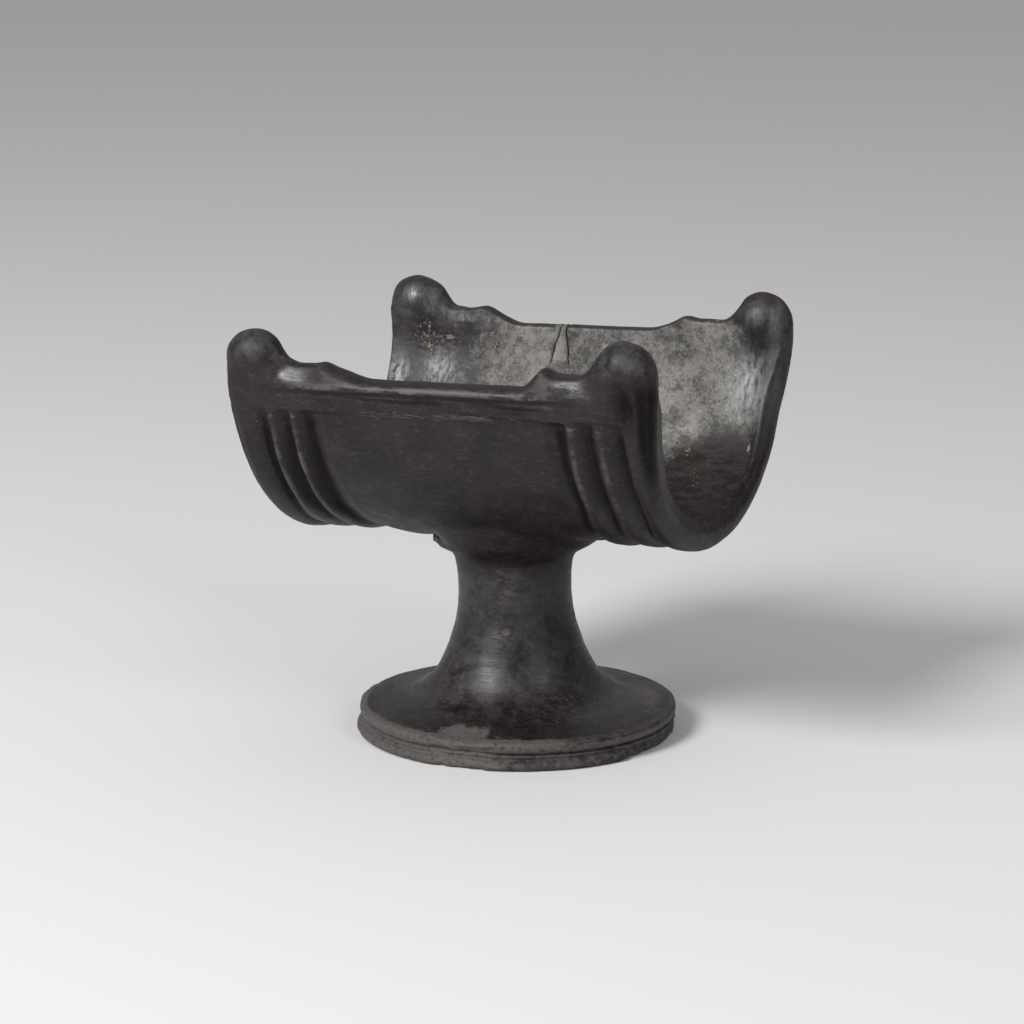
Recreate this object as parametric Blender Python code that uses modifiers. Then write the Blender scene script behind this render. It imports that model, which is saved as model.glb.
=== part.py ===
"""Black terracotta stand: a half-round trough, open at both ends, on a turned trumpet foot.

The trough has a knob at each corner, a low hump beside each knob, a lipped rim with a band
below it, and two ribs and an end roll round each end. Inside, a flange stands inward round
each end. Trough and foot were joined before firing, so the stand is one solid piece. The foot
is hollow from below.

X runs along the trough, Y across it, and the stand rests on Z = 0. The sizes are in
millimetres, and the finished shape is scaled to metres by MM.
"""
import math
from collections import namedtuple

import bmesh
import bpy
import mathutils
import numpy as np

NAME = "stand"
MM = 0.001

# Trough, measured from the centre of its oval section
AXIS_HEIGHT = 105.4
TILT = math.radians(1.95)
OUTER_HALF_WIDTH = 51.5
OUTER_DEPTH = 48.2
INNER_HALF_WIDTH = 45.5
INNER_DEPTH = 42.0
WALL_MIDDLE = 49.0
END_X = 61.15
END_ROUNDING = 3.65
BELLY = 0.4
FLOOR_THICKENING = 1.6

# The flange round each end inside: a bead, a groove line, then a band that stands inward
END_BEAD = 0.8
END_BEAD_OFFSET = -2.3
FLANGE_BACK = {-1: 1.0, 1: 1.9}
FLANGE_SLOPE = {-1: 13.0, 1: 1.6}
FLANGE_SLOPE_BESIDE = {-1: 28.0, 1: 12.5}
FLANGE_RISE_BELOW = 1.7
FLANGE_RISE_BESIDE = 4.2
FLANGE_TOPS = {(-1, -1): (-8.0, 5.0), (1, -1): (-8.0, 5.0), (-1, 1): (-24.0, 6.0), (1, 1): (-16.0, 9.0)}

# Rim: the lip's widest line, the ridge on top, and the band below the lip
LIP_Z = -0.8
SCOOP_Z = -0.4
RIDGE_OFFSET = -1.0
CLOSING_OFFSET = 0.1
BAND_BOTTOM = -7.5
BAND_PROUD = 0.75
UPPER_START = -1.0

# Mouldings round each end: their grooves, as distances from the middle, on the sides and underneath
ROLL_PROUD = 1.3
ROLL_LENGTH = 4.5
RIB_PROUD_BELOW = 0.75
RIB_PROUD_BESIDE = 1.3
RIB_FULLNESS = 2.2
RIB_SHARPNESS = {-1: 2.0, 1: 2.5}
RIB_SKEW = {-1: 1.25, 1: 0.76}
GROOVE_SLOPE = 5.5
GROOVE_DEPTH_BELOW = 0.6
GROOVE_DEPTH_BESIDE = {-1: 1.6, 1: 1.95}
Grooves = namedtuple("Grooves", "roll middle body")
SIDE_GROOVES = {-1: Grooves(51.8, 44.7, 38.2), 1: Grooves(55.0, 45.5, 37.6)}
BASE_GROOVES = {-1: Grooves(54.0, 45.0, 36.6), 1: Grooves(52.3, 42.9, 34.3)}
EDGE_GROOVE = 2.1

# Corners by end (-1 or +1 along X) and side (-1 or +1 along Y)
KNOB_X = 54.8
Corner = namedtuple(
    "Corner",
    "knob_x radius inboard reach inner_reach height blend shelf hump hump_x slope_start low_rim post_foot",
)
CORNERS = {
    (-1, -1): Corner(53.9, 8.4, 8.1, 6.2, 6.6, 6.0, 3.0, 5.1, 5.8, 33.0, 18.0, 1.6, -24.0),
    (1, -1): Corner(55.6, 9.2, 7.9, 6.6, 7.4, 5.7, 3.2, 5.6, 6.9, 32.2, 25.5, 1.6, -40.0),
    (-1, 1): Corner(54.0, 8.7, 10.0, 6.2, 6.0, 6.9, 1.6, 6.8, 7.4, 31.0, 19.2, 2.6, -36.0),
    (1, 1): Corner(55.0, 9.0, 7.0, 6.6, 6.4, 5.0, 3.2, 5.9, 6.7, 32.5, 20.5, 2.9, -24.0),
}
HUMP_WIDTH = 2.6
POST_START = -14.0
SCOOP_BULGES = {-1: (43.8, 1.3, 3.4, 1.6, 0.75), 1: (37.6, 2.7, 3.6, 2.3, 0.75)}
SCOOP_FALL = {-1: 0.42, 1: 0.27}
DIMPLES = {-1: (54.5, 1.0, 3.4, 4.6, 0.8), 1: (57.4, -1.8, 2.3, 6.4, 2.3)}
SOFTNESS = 2.4
KNOB_SPREAD = 1.6
DOME_SHARE = 0.81

# Foot: radius and height down the outside, then up the hollow to its rounded top. The collar
# is drawn below the lowest line of the trough, and rises from there to meet the trough.
FOOT_CENTRE = (1.31, 0.64)
FOOT_LEAN = -0.025
LEAN_DIRECTION = (0.90, 0.43)
LEAN_START = 8.0
FOOT_OUTSIDE = [
    (14.0, 59.6), (24.0, 59.4), (28.5, 58.8), (25.2, 56.4), (22.4, 54.2), (20.4, 53.2), (18.4, 52.3),
    (16.9, 50.2), (16.2, 46.5), (15.95, 40.0), (16.5, 34.0), (18.0, 28.0), (19.75, 23.0),
    (21.6, 19.0), (24.4, 15.0), (27.6, 12.3), (31.8, 10.4), (38.0, 8.9), (44.6, 7.5),
    (44.3, 5.0), (43.5, 4.4), (44.3, 3.9), (43.9, 3.2), (45.2, 2.3), (45.7, 1.3), (44.3, 0.0),
]
FOOT_HOLLOW = [
    (38.5, 0.0), (37.0, 2.4), (29.5, 6.0), (21.5, 9.8), (15.8, 14.8), (12.2, 21.5),
    (10.2, 30.0), (8.6, 38.0), (5.5, 43.2),
]
FOOT_TOP_Z = 59.6
HOLLOW_TOP_Z = 45.2
COLLAR_EDGE = 54.2
COLLAR_TOP = 58.8
FOOT_STEPS = 38

# Mesh density: stations along half the trough, turns round each end, points down each side
STATIONS = (0.0, 8.0, 16.0, 21.0, 25.5, 29.0, 31.2, 32.8, 34.6, 36.5, 38.4, 40.2, 42.0,
            43.8, 45.6, 47.4, 49.2, 51.0, 52.8, 54.8)
END_TURNS = 5
LOWER_POINTS = 10
BAND_LEVELS = (-8.8, -7.6, -6.4, -2.8, -1.8, UPPER_START)
UPPER_POINTS = 6

CLAY_COLOUR = (0.022, 0.019, 0.018, 1.0)
CLAY_ROUGHNESS = 0.38


def smooth(start, end, value):
    """Rise from 0 at start to 1 at end with level ends."""
    t = np.clip((value - start) / (end - start), 0.0, 1.0)
    return t * t * (3.0 - 2.0 * t)


def bump(value, centre, width):
    """Bell of height 1 at centre."""
    return np.exp(-((value - centre) / width) ** 2)


def soft_max(a, b, softness):
    """The larger of two values, rounded where they cross."""
    share = np.clip(0.5 + 0.5 * (a - b) / softness, 0.0, 1.0)
    return b + (a - b) * share + softness * share * (1.0 - share)


def quarter_round(value):
    """Fall from 1 at 0 to 0 at 1 along a quarter circle."""
    return np.sqrt(np.clip(1.0 - value ** 2, 0.0, 1.0))


def lobe(value, start, end, sharpness, skew):
    """Rounded rise between two grooves: 0 at its ends, 1 on its crest, narrower where sharper."""
    share = np.clip((value - start) / (end - start), 0.0, 1.0) ** skew
    return (1.0 - abs(2.0 * share - 1.0) ** RIB_FULLNESS) ** sharpness


def grooves_at(z, end):
    """The three grooves' distances from the middle at height z."""
    side = smooth(-46.0, -32.0, z)
    return [low + (high - low) * side for low, high in zip(BASE_GROOVES[end], SIDE_GROOVES[end])]


def end_relief(x, z, end):
    """Ribs, grooves and end roll above the body's outer surface at a distance x from the middle."""
    roll, middle, body = grooves_at(z, end)
    depth = GROOVE_DEPTH_BELOW + (GROOVE_DEPTH_BESIDE[end] - GROOVE_DEPTH_BELOW) * smooth(-44.0, -26.0, z)
    proud = RIB_PROUD_BELOW + (RIB_PROUD_BESIDE - RIB_PROUD_BELOW) * smooth(-46.0, -36.0, z)
    proud = proud * (1.0 - 0.55 * smooth(-24.0, -10.0, z))
    below_band = 1.0 - smooth(-9.0, -6.4, z)
    sharpness = 1.0 + (RIB_SHARPNESS[end] - 1.0) * smooth(-44.0, -30.0, z)
    skew = 1.0 + (RIB_SKEW[end] - 1.0) * smooth(-44.0, -32.0, z)
    lobes = lobe(x, body, middle, sharpness, skew) + lobe(x, middle, roll, sharpness, skew)
    ribs = (proud + depth) * lobes
    relief = (ribs - depth * smooth(body - GROOVE_SLOPE, body, x)) * below_band
    onto_roll = np.clip((x - roll) / ROLL_LENGTH, 0.0, 1.0)
    return relief + (ROLL_PROUD + depth * below_band) * quarter_round(1.0 - onto_roll)


def band_relief(z):
    """The band and the lip above the body's outer surface at height z."""
    relief = BAND_PROUD * smooth(BAND_BOTTOM - 1.2, BAND_BOTTOM + 1.1, z)
    relief = relief + 0.12 * bump(z, -6.1, 0.8)
    relief = relief - 0.25 * bump(z, -2.2, 0.6)
    return relief + 0.50 * smooth(-1.9, -0.9, z)


def rim_height(end, side, x):
    """Height of the rim's ridge at a distance x from the middle, without the knob."""
    corner = CORNERS[(end, side)]
    far_corner = CORNERS[(-end, side)]
    middle = 0.5 * (corner.low_rim + far_corner.low_rim)
    low = middle + (corner.low_rim - middle) * np.minimum(x / 30.0, 1.0)
    climb = smooth(corner.slope_start, corner.hump_x + 1.0, x)
    peak = (corner.hump - corner.shelf) * bump(x, corner.hump_x, HUMP_WIDTH)
    return low + (corner.shelf - low) * climb + peak


def outer_wall(x, z, to_end, end, side):
    """Offset of the outer face from the wall's middle, below the lip's widest line."""
    fade = (33.0, 45.0) if (end, side) == (1, -1) else (50.2, 51.4)
    band = 1.0 - smooth(*fade, x)
    offset = OUTER_HALF_WIDTH - WALL_MIDDLE + end_relief(x, z, end)
    offset = offset + band_relief(z) * band
    on_roll = smooth(SIDE_GROOVES[end].roll - 1.0, SIDE_GROOVES[end].roll + 2.0, x)
    offset = offset + ROLL_PROUD * smooth(-8.0, -5.5, z) * (1.0 - band) * (1.0 - on_roll)
    offset = offset + BELLY * np.clip(1.0 - (x / 35.0) ** 2, 0.0, 1.0) * (1.0 - smooth(-30.0, -10.0, z))
    beside = smooth(-34.0, -20.0, z) * (1.0 - smooth(2.0, 5.0, z))
    offset = offset - 0.9 * bump(to_end, EDGE_GROOVE, 0.6) * beside * (1.0 if end > 0 else 0.4)
    rounding = np.clip(1.0 - to_end / END_ROUNDING, 0.0, 1.0)
    return offset - END_ROUNDING * (1.0 - quarter_round(rounding))


def inner_wall(x, z, to_end, end, side):
    """Offset of the inner face from the wall's middle, below the rim."""
    floor = FLOOR_THICKENING * bump(x, 0.0, 30.0) * (1.0 - smooth(-42.0, -20.0, z))
    wall = INNER_HALF_WIDTH - WALL_MIDDLE - floor
    rise = FLANGE_RISE_BELOW + (FLANGE_RISE_BESIDE - FLANGE_RISE_BELOW) * smooth(-42.0, -20.0, z)
    rise = rise * (1.0 - smooth(*FLANGE_TOPS[(end, side)], z))
    slope = FLANGE_SLOPE[end] + (FLANGE_SLOPE_BESIDE[end] - FLANGE_SLOPE[end]) * smooth(-36.0, -14.0, z)
    band = wall - rise * (1.0 - smooth(FLANGE_BACK[end], FLANGE_BACK[end] + slope, to_end))
    bead = END_BEAD_OFFSET * quarter_round(np.clip(1.0 - to_end / END_BEAD, 0.0, 1.0))
    return bead + (band - END_BEAD_OFFSET) * smooth(0.5 * END_BEAD, 1.8 * END_BEAD, to_end)


def knob_top(corner, from_knob):
    """Height of the knob's outline: a dome, then a straight flank down to the shelf."""
    edge = DOME_SHARE * corner.inboard
    top = corner.height + corner.radius
    if from_knob < edge:
        return top - corner.inboard + math.sqrt(corner.inboard ** 2 - from_knob ** 2)
    drop = corner.inboard * (1.0 - math.sqrt(1.0 - DOME_SHARE ** 2))
    slope = DOME_SHARE / math.sqrt(1.0 - DOME_SHARE ** 2)
    return top - drop - slope * (from_knob - edge)


def knob_profile(z, corner, top, half, power, root):
    """Half thickness of the knob and of the post that carries it at height z."""
    above = np.clip((z - corner.height) / max(top - corner.height, 1e-6), 0.0, 1.0)
    up_the_post = np.clip((z - POST_START) / (corner.height - POST_START), 0.0, 1.0)
    post = root + (1.0 - root) * up_the_post ** power
    thickness = half * np.where(z > corner.height, quarter_round(above), post)
    return np.where(z < POST_START, -WALL_MIDDLE, thickness)


def side_section(end, side, station, turn):
    """Outer and inner points of one side at a station, from the floor's middle to the rim.

    Station is the distance from the middle, up to the knob's centre, and turn is the angle
    from there round the end, from 0 to a quarter turn.
    """
    corner = CORNERS[(end, side)]
    last = turn > 0.5 * math.pi - 1e-6
    stretch_from = 42.0

    # How much of the knob this station cuts, and the height of the ridge
    stretch = max(0.0, station - stretch_from) / (KNOB_X - stretch_from)
    from_knob = (corner.knob_x - stretch_from) * (1.0 - stretch) + stretch_from - min(station, stretch_from)
    ridge = rim_height(end, side, station)
    if turn > 0.0:
        share = math.cos(turn)
        top = corner.height + corner.radius * share
    else:
        share = (1.0 - smooth(0.0, KNOB_SPREAD, from_knob / corner.inboard)) ** 0.75
        top = float(soft_max(ridge, knob_top(corner, from_knob), corner.blend))
        top += (corner.height + corner.radius - top) * smooth(1.5, 0.0, from_knob)
        ridge = ridge + (top - ridge) * (1.0 - smooth(0.0, 0.6, share))

    # Heights down the side: oval floor, band, then the upper part up to the ridge
    band_start = math.acos(10.5 / OUTER_DEPTH)
    floor_angles = np.linspace(0.0, band_start, LOWER_POINTS + 1)
    band_angles = np.arccos(-np.array(BAND_LEVELS) / OUTER_DEPTH)
    angles = np.concatenate([floor_angles, band_angles])
    rises = np.sin(np.linspace(0.0, 0.5 * math.pi, UPPER_POINTS + 1)[1:])
    z = np.concatenate([-OUTER_DEPTH * np.cos(angles), UPPER_START + (top - UPPER_START) * rises])

    # Distance along the trough: the knobs stand out past the ends of the floor
    knob_x = KNOB_X + (corner.knob_x - KNOB_X) * smooth(-35.0, 0.0, z)
    base_x = min(station, stretch_from) + (knob_x - stretch_from) * stretch
    end_x = END_X + (corner.knob_x + corner.radius - END_X) * smooth(corner.post_foot, corner.height - 1.0, z)
    x = base_x + (end_x - knob_x) * math.sin(turn)
    to_end = end_x - x

    # Rim: a round lip along the low part, and a concave scoop below hump and shelf
    outer = outer_wall(x, z, to_end, end, side)
    inner = inner_wall(x, z, to_end, end, side)
    ridge_offset = RIDGE_OFFSET + (CLOSING_OFFSET - RIDGE_OFFSET) * smooth(46.0, 54.0, x)
    scoop = smooth(corner.hump_x - 3.5, corner.hump_x + 4.0, station) * (1.0 - smooth(46.0, 54.0, station))
    lip = LIP_Z + (SCOOP_Z - LIP_Z) * scoop
    above_lip = np.clip((z - lip) / (ridge - lip), 0.0, 1.0)
    fall = SCOOP_FALL[end]
    edge = (1.0 - fall) * np.sqrt(1.0 - above_lip ** 8) + fall * (1.0 - above_lip) ** 1.6
    closing = (1.0 - scoop) * quarter_round(above_lip) + scoop * edge
    outer = np.where(z > lip, ridge_offset + (outer - ridge_offset) * closing, outer)
    pillow_x, pillow_z, pillow_length, pillow_height, pillow = SCOOP_BULGES[end]
    pillow = pillow * bump(x, pillow_x, pillow_length) * bump(z, pillow_z, pillow_height)
    outer = outer + pillow * smooth(0.0, 0.3, scoop)
    near_ridge = np.clip((z - ridge + 1.5) / 1.5, 0.0, 1.0)
    inner = ridge_offset + (inner - ridge_offset) * quarter_round(near_ridge ** 2)

    # Knob and its post, merged softly with the wall, and the dimple pressed below the knob
    softness = SOFTNESS * smooth(0.0, 0.35, share)
    if share > 0.0:
        bulge = knob_profile(z, corner, top, corner.reach * share, 1.1, 0.12)
        outer = soft_max(outer, bulge, max(softness, 0.05))
        bulge = knob_profile(z, corner, top, corner.inner_reach * share, 1.3, 0.30)
        inner = -soft_max(-inner, bulge, max(softness, 0.05))
    dimple_x, dimple_z, dimple_length, dimple_height, depth = DIMPLES[end]
    dimple = bump(x, dimple_x, dimple_length) * bump(z, dimple_z, dimple_height)
    outer = outer - depth * dimple * smooth(0.3, 3.0, to_end)
    if side > 0 and end < 0:
        ledge = smooth(2.1, 3.1, z) * smooth(29.0, 36.0, x) * (1.0 - smooth(38.0, 47.0, x))
        inner = inner - 0.6 * ledge * (1.0 - near_ridge ** 3)
    if last:
        outer[:] = CLOSING_OFFSET
        inner[:] = CLOSING_OFFSET
    outer[-1] = ridge_offset[-1] * (1.0 - smooth(0.1, 0.5, share))
    inner[-1] = outer[-1]

    # Offsets become points: radial on the oval floor, sideways above the axis
    count = len(angles)
    outer_y = WALL_MIDDLE + outer
    inner_y = WALL_MIDDLE + inner
    outer_z = z.copy()
    inner_z = z.copy()
    outer_y[:count] *= np.sin(angles)
    inner_y[:count] *= np.sin(angles)
    outer_z[:count] = -(OUTER_DEPTH - OUTER_HALF_WIDTH + WALL_MIDDLE + outer[:count]) * np.cos(angles)
    inner_z[:count] = -(INNER_DEPTH - INNER_HALF_WIDTH + WALL_MIDDLE + inner[:count]) * np.cos(angles)
    outer_points = np.stack([end * x, side * outer_y, outer_z], axis=1)
    inner_points = np.stack([end * x, side * inner_y, inner_z], axis=1)
    if last:
        middle = 0.5 * (outer_points + inner_points)
        return middle, middle
    return outer_points, inner_points


def trough_stations():
    """Every station from the left end to the right: end, distance from the middle, and turn."""
    half = [(station, 0.0) for station in STATIONS]
    half += [(KNOB_X, 0.5 * math.pi * step / END_TURNS) for step in range(1, END_TURNS + 1)]
    left = [(-1, station, turn) for station, turn in reversed(half)]
    right = [(1, station, turn) for station, turn in half[1:]]
    return left + right


def new_object(mesh, name, collection):
    """An object in a collection, made from a bmesh, which is freed."""
    data = bpy.data.meshes.new(name)
    mesh.to_mesh(data)
    mesh.free()
    item = bpy.data.objects.new(name, data)
    collection.objects.link(item)
    return item


def make_trough(name, collection):
    """The trough as a loft of closed wall sections, from the left end to the right."""
    mesh = bmesh.new()
    sections = []
    for end, station, turn in trough_stations():
        near_outer, near_inner = side_section(end, -1, station, turn)
        far_outer, far_inner = side_section(end, 1, station, turn)
        outer_line = np.concatenate([near_outer[:0:-1], far_outer])
        inner_line = np.concatenate([near_inner[:0:-1], far_inner])
        outer = [mesh.verts.new(point) for point in outer_line]
        if turn > 0.5 * math.pi - 1e-6:
            inner = outer
        else:
            inner = [outer[0]] + [mesh.verts.new(point) for point in inner_line[1:-1]] + [outer[-1]]
        sections.append((outer, inner))
    for (outer, inner), (next_outer, next_inner) in zip(sections[:-1], sections[1:]):
        for i in range(len(outer) - 1):
            mesh.faces.new((outer[i], outer[i + 1], next_outer[i + 1], next_outer[i]))
            mesh.faces.new((inner[i + 1], inner[i], next_inner[i], next_inner[i + 1]))
    bmesh.ops.recalc_face_normals(mesh, faces=mesh.faces)
    place = mathutils.Matrix.Translation((0.0, 0.0, AXIS_HEIGHT * MM))
    place = place @ mathutils.Matrix.Rotation(-TILT, 4, "Y") @ mathutils.Matrix.Scale(MM, 4)
    mesh.transform(place)
    return new_object(mesh, name, collection)


def underside_rise(x, y):
    """Height of the trough's underside above its lowest line at the middle."""
    curve = OUTER_DEPTH * (1.0 - math.sqrt(1.0 - (y / OUTER_HALF_WIDTH) ** 2))
    return curve + x * math.tan(TILT)


def make_foot(name, collection):
    """The turned foot with its hollow, leaning a little, and its collar raised to the trough."""
    profile = [(0.0, FOOT_TOP_Z)] + FOOT_OUTSIDE + FOOT_HOLLOW + [(0.0, HOLLOW_TOP_Z)]
    line = bmesh.new()
    points = [line.verts.new((radius, 0.0, z)) for radius, z in profile]
    for start, end in zip(points[:-1], points[1:]):
        line.edges.new((start, end))
    turned = new_object(line, name + "_profile", collection)
    screw = turned.modifiers.new("turn", "SCREW")
    screw.steps = FOOT_STEPS
    screw.render_steps = FOOT_STEPS
    screw.use_merge_vertices = True
    screw.merge_threshold = 0.0001
    screw.use_smooth_shade = True
    solid = bpy.data.meshes.new_from_object(turned.evaluated_get(bpy.context.evaluated_depsgraph_get()))
    bpy.data.objects.remove(turned)

    mesh = bmesh.new()
    mesh.from_mesh(solid)
    bpy.data.meshes.remove(solid)
    for vertex in mesh.verts:
        x, y, z = vertex.co
        lean = FOOT_LEAN * max(0.0, z - LEAN_START)
        x += FOOT_CENTRE[0] + lean * LEAN_DIRECTION[0]
        y += FOOT_CENTRE[1] + lean * LEAN_DIRECTION[1]
        share = min(max((z - COLLAR_EDGE) / (COLLAR_TOP - COLLAR_EDGE), 0.0), 1.0)
        vertex.co = (x * MM, y * MM, (z + share * underside_rise(x, y)) * MM)
    bmesh.ops.recalc_face_normals(mesh, faces=mesh.faces)
    return new_object(mesh, name, collection)


def clay_material():
    """Black burnished clay."""
    material = bpy.data.materials.new("black_clay")
    material.use_nodes = True
    shader = material.node_tree.nodes["Principled BSDF"]
    shader.inputs["Base Color"].default_value = CLAY_COLOUR
    shader.inputs["Roughness"].default_value = CLAY_ROUGHNESS
    shader.inputs["Metallic"].default_value = 0.0
    return material


def new_collection(name):
    collection = bpy.data.collections.new(name)
    bpy.context.scene.collection.children.link(collection)
    return collection


def main():
    for item in list(bpy.data.objects):
        bpy.data.objects.remove(item)
    parts = new_collection("terracotta_stand")
    cutters = new_collection("cutters")

    stand = make_trough(NAME, parts)
    foot = make_foot("foot", cutters)
    foot.hide_render = True
    foot.display_type = "WIRE"
    join = stand.modifiers.new("foot", "BOOLEAN")
    join.operation = "UNION"
    join.solver = "EXACT"
    join.object = foot

    stand.data.materials.append(clay_material())
    stand.data.shade_smooth()
    stand.data.set_sharp_from_angle(angle=math.radians(40.0))


main()
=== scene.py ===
import math
from collections import namedtuple

import bpy
import mathutils
import numpy as np
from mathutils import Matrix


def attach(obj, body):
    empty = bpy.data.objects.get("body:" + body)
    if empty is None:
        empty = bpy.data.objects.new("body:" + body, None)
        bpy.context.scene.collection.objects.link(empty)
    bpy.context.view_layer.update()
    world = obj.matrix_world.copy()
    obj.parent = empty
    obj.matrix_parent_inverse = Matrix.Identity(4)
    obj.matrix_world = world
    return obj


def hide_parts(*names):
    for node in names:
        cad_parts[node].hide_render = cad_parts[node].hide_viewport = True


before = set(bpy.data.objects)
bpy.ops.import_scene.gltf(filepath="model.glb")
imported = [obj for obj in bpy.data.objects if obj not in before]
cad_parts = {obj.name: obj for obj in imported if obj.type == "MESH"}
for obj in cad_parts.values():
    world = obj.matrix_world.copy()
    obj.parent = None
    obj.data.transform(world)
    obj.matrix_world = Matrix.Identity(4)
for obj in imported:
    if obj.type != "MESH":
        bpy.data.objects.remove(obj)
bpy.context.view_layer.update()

MM = 0.001

# Trough, in millimetres, measured from the centre of its oval section
AXIS_HEIGHT = 105.4
TILT = math.radians(1.95)
OUTER_HALF_WIDTH = 51.5
OUTER_DEPTH = 48.2
INNER_HALF_WIDTH = 45.5
INNER_DEPTH = 42
WALL_MIDDLE = 49
FLOOR_END = -10.5
END_X = 61.15
END_ROUNDING = 3.65
BELLY = 0.4
FLOOR_THICKENING = 1.6

# The flange round each end inside: a bead, a groove line, then a band that stands inward
END_BEAD = 0.8
END_BEAD_OFFSET = -2.3
FLANGE_BACK = {-1: 1, 1: 1.9}
FLANGE_SLOPE = {-1: 13, 1: 1.6}
FLANGE_SLOPE_BESIDE = {-1: 28, 1: 12.5}
FLANGE_RISE_BELOW = 1.7
FLANGE_RISE_BESIDE = 4.2
FLANGE_TOPS = {(-1, -1): (-8, 5), (1, -1): (-8, 5), (-1, 1): (-24, 6), (1, 1): (-16, 9)}

# Rim: the lip's widest line, the ridge on top, and the band below the lip
LIP_Z = -0.8
SCOOP_Z = -0.4
RIDGE_OFFSET = -1
CLOSING_OFFSET = 0.1
BAND_BOTTOM = -7.5
BAND_PROUD = 0.75
UPPER_START = -1

# Mouldings round each end: their grooves, as distances from the middle, on the sides and underneath
ROLL_PROUD = 1.3
ROLL_LENGTH = 4.5
RIB_PROUD_BELOW = 0.75
RIB_PROUD_BESIDE = 1.3
RIB_FULLNESS = 2.2
RIB_SHARPNESS = {-1: 2, 1: 2.5}
RIB_SKEW = {-1: 1.25, 1: 0.76}
GROOVE_SLOPE = 5.5
GROOVE_DEPTH_BELOW = 0.6
GROOVE_DEPTH_BESIDE = {-1: 1.6, 1: 1.95}
Grooves = namedtuple("Grooves", "roll middle body")
SIDE_GROOVES = {-1: Grooves(51.8, 44.7, 38.2), 1: Grooves(55, 45.5, 37.6)}
BASE_GROOVES = {-1: Grooves(54, 45, 36.6), 1: Grooves(52.3, 42.9, 34.3)}
EDGE_GROOVE = 2.1

# Corners by end (-1 or +1 along X) and side (-1 or +1 along Y)
KNOB_X = 54.8
Corner = namedtuple(
    "Corner",
    "knob_x radius inboard reach inner_reach height blend shelf hump hump_x slope_start low_rim post_foot",
)
CORNERS = {
    (-1, -1): Corner(53.9, 8.4, 8.1, 6.2, 6.6, 6, 3, 5.1, 5.8, 33, 18, 1.6, -24),
    (1, -1): Corner(55.6, 9.2, 7.9, 6.6, 7.4, 5.7, 3.2, 5.6, 6.9, 32.2, 25.5, 1.6, -40),
    (-1, 1): Corner(54, 8.7, 10, 6.2, 6, 6.9, 1.6, 6.8, 7.4, 31, 19.2, 2.6, -36),
    (1, 1): Corner(55, 9, 7, 6.6, 6.4, 5, 3.2, 5.9, 6.7, 32.5, 20.5, 2.9, -24),
}
HUMP_WIDTH = 2.6
POST_START = -14
STRETCH_FROM = 42
SCOOP_BULGES = {-1: (43.8, 1.3, 3.4, 1.6, 0.75), 1: (37.6, 2.7, 3.6, 2.3, 0.75)}
SCOOP_FALL = {-1: 0.42, 1: 0.27}
DIMPLES = {-1: (54.5, 1, 3.4, 4.6, 0.8), 1: (57.4, -1.8, 2.3, 6.4, 2.3)}
SOFTNESS = 2.4
KNOB_SPREAD = 1.6
DOME_SHARE = 0.81

# Foot: radius and height down the outside and up the hollow, in runs that meet at sharp edges
FOOT_CENTRE = (1.31, 0.64)
FOOT_LEAN = -0.025
LEAN_DIRECTION = (0.9, 0.43)
LEAN_START = 8
FOOT_OVAL = 0.028
OVAL_DIRECTION = math.radians(-64)
COLLAR_EDGE = (22.4, 54.2)
COLLAR_REACH = 29.5
COLLAR_CENTRE = (FOOT_CENTRE[0] - 1.04, FOOT_CENTRE[1] - 0.5)
CORE_RADIUS = 6
CORE_RISE = 1.6
FLARE = [COLLAR_EDGE, (20.4, 53.2), (18.4, 52.3), (16.9, 50.2), (16.2, 46.5), (15.95, 40),
         (16.5, 34), (18, 28), (19.75, 23), (21.6, 19), (24.4, 15), (27.6, 12.3),
         (31.8, 10.4), (38, 8.9), (44.6, 7.5)]
FASCIA = [(44.6, 7.5), (44.75, 6.4), (44.3, 5), (43.5, 4.4), (44.3, 3.9), (43.9, 3.2),
          (45.2, 2.3), (45.7, 1.3), (45.3, 0.5), (44.3, 0)]
STANDING = [(44.3, 0), (38.5, 0)]
HOLLOW = [(38.5, 0), (37, 2.4), (29.5, 6), (21.5, 9.8), (15.8, 14.8), (12.2, 21.5),
          (10.2, 30), (8.6, 38), (5.5, 43.2), (0, 45.2)]

# The collar's broken edge on the left: its middle, half width and fading ends in degrees, then lengths
BROKEN_MIDDLE = -172
BROKEN_HALF = 34
BROKEN_FADE = 30
BROKEN_STEP = 0.95
BROKEN_SETBACK = 0.1
ROOT_REACH = 31
ROOT_THICKNESS = 1
CAVITY_HEIGHT = 1.9

# Hairline cracks from the far rim down the wall, and one in the near rim, as places (x, z) on the trough
CRACKS = [
    [(-6.3, 2.6), (-7.2, -0.4), (-8.5, -3), (-9.2, -6.4), (-10.2, -9.2), (-10.8, -13), (-10.2, -17)],
    [(-4.6, 2.6), (-4.5, -1.8), (-4.2, -5), (-4.1, -8.9), (-4.9, -12.5)],
]
CRACK_WIDTH = 0.34
CRACK_DEPTH = 0.55
NEAR_HAIRLINE = [(29, 0.6), (28.8, -0.6), (29.1, -1.5)]
HAIRLINE_WIDTH = 0.3

# Fineness of the meshes, and how the noise of strokes is drawn out
FLOOR_POINTS = 47
BAND_POINTS = 30
UPPER_POINTS = 18
END_TURNS = 18
COARSE_STATIONS = 28
FINE_STATIONS = 44
FINE_FROM = 30
CRACK_STATIONS = (3.6, 10.9, 0.3)
FOOT_TURNS = 200
COLLAR_ROWS = 9
CORE_ROWS = 5
SOFTENING_ROUNDS = 14
GROUND_MARGIN = 0.4
TINY = 1e-6
BURNISH_STRETCH = np.array([0.08, 1, 1])
LINE_STRETCH = np.array([0.06, 1, 1])
ALONG = (0.12, 1, 1)
AROUND = (0.05, 0.05, 1)
DOWN = (1, 0.14, 0.14)

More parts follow.
